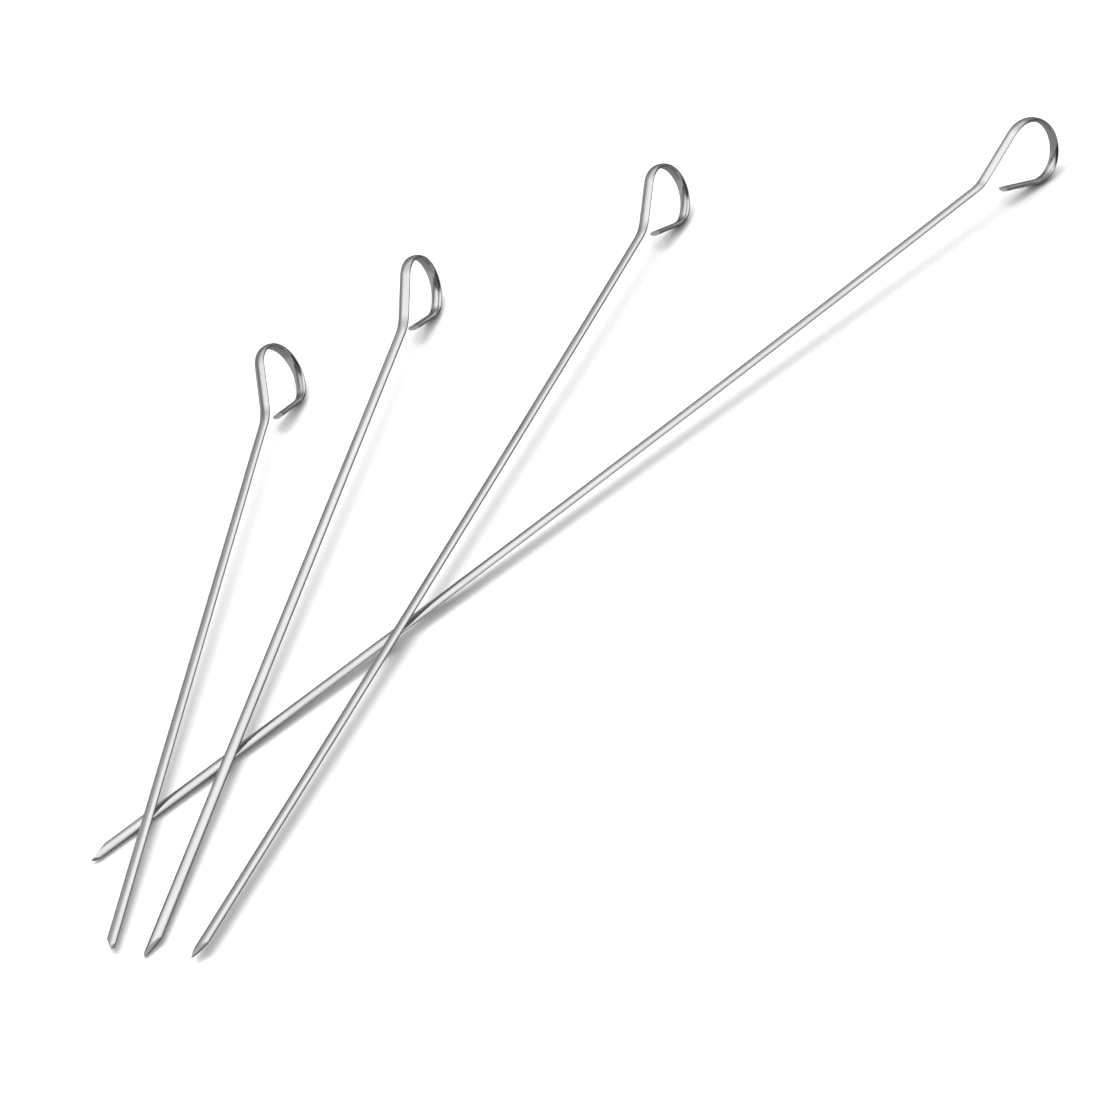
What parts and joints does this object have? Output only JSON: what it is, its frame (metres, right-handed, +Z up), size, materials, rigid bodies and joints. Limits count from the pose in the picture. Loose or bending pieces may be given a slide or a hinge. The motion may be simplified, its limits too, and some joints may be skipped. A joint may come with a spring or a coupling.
{
  "type": "skewer set",
  "caption": "Looped wire skewers in graded lengths, each with a ground point, a long oval shaft and a bent loop grip, lying fanned and crossed on a table.",
  "frame": {"origin": "on the table, under the middle of the set's bounding box", "axes": "+Z up from the table; the points are at the -Y end and the shafts fan out towards +Y and +X"},
  "size_m": [0.2506, 0.2968, 0.0187],
  "materials": {
    "stainless_wire": "bright drawn and polished, with fine drawing lines along the wire"
  },
  "bodies": {
    "extra_long": {"skewer_extra_long": "stainless_wire"},
    "short": {"skewer_short": "stainless_wire"},
    "medium": {"skewer_medium": "stainless_wire"},
    "long": {"skewer_long": "stainless_wire"}
  },
  "joints": [
    {"name": "lift_short", "type": "slide", "parent": "extra_long", "child": "short", "axis": [0, 0, 1], "range_m": [0, 0.06]},
    {"name": "lift_medium", "type": "slide", "parent": "extra_long", "child": "medium", "axis": [0, 0, 1], "range_m": [0, 0.06]},
    {"name": "lift_long", "type": "slide", "parent": "extra_long", "child": "long", "axis": [0, 0, 1], "range_m": [0, 0.06]}
  ]
}
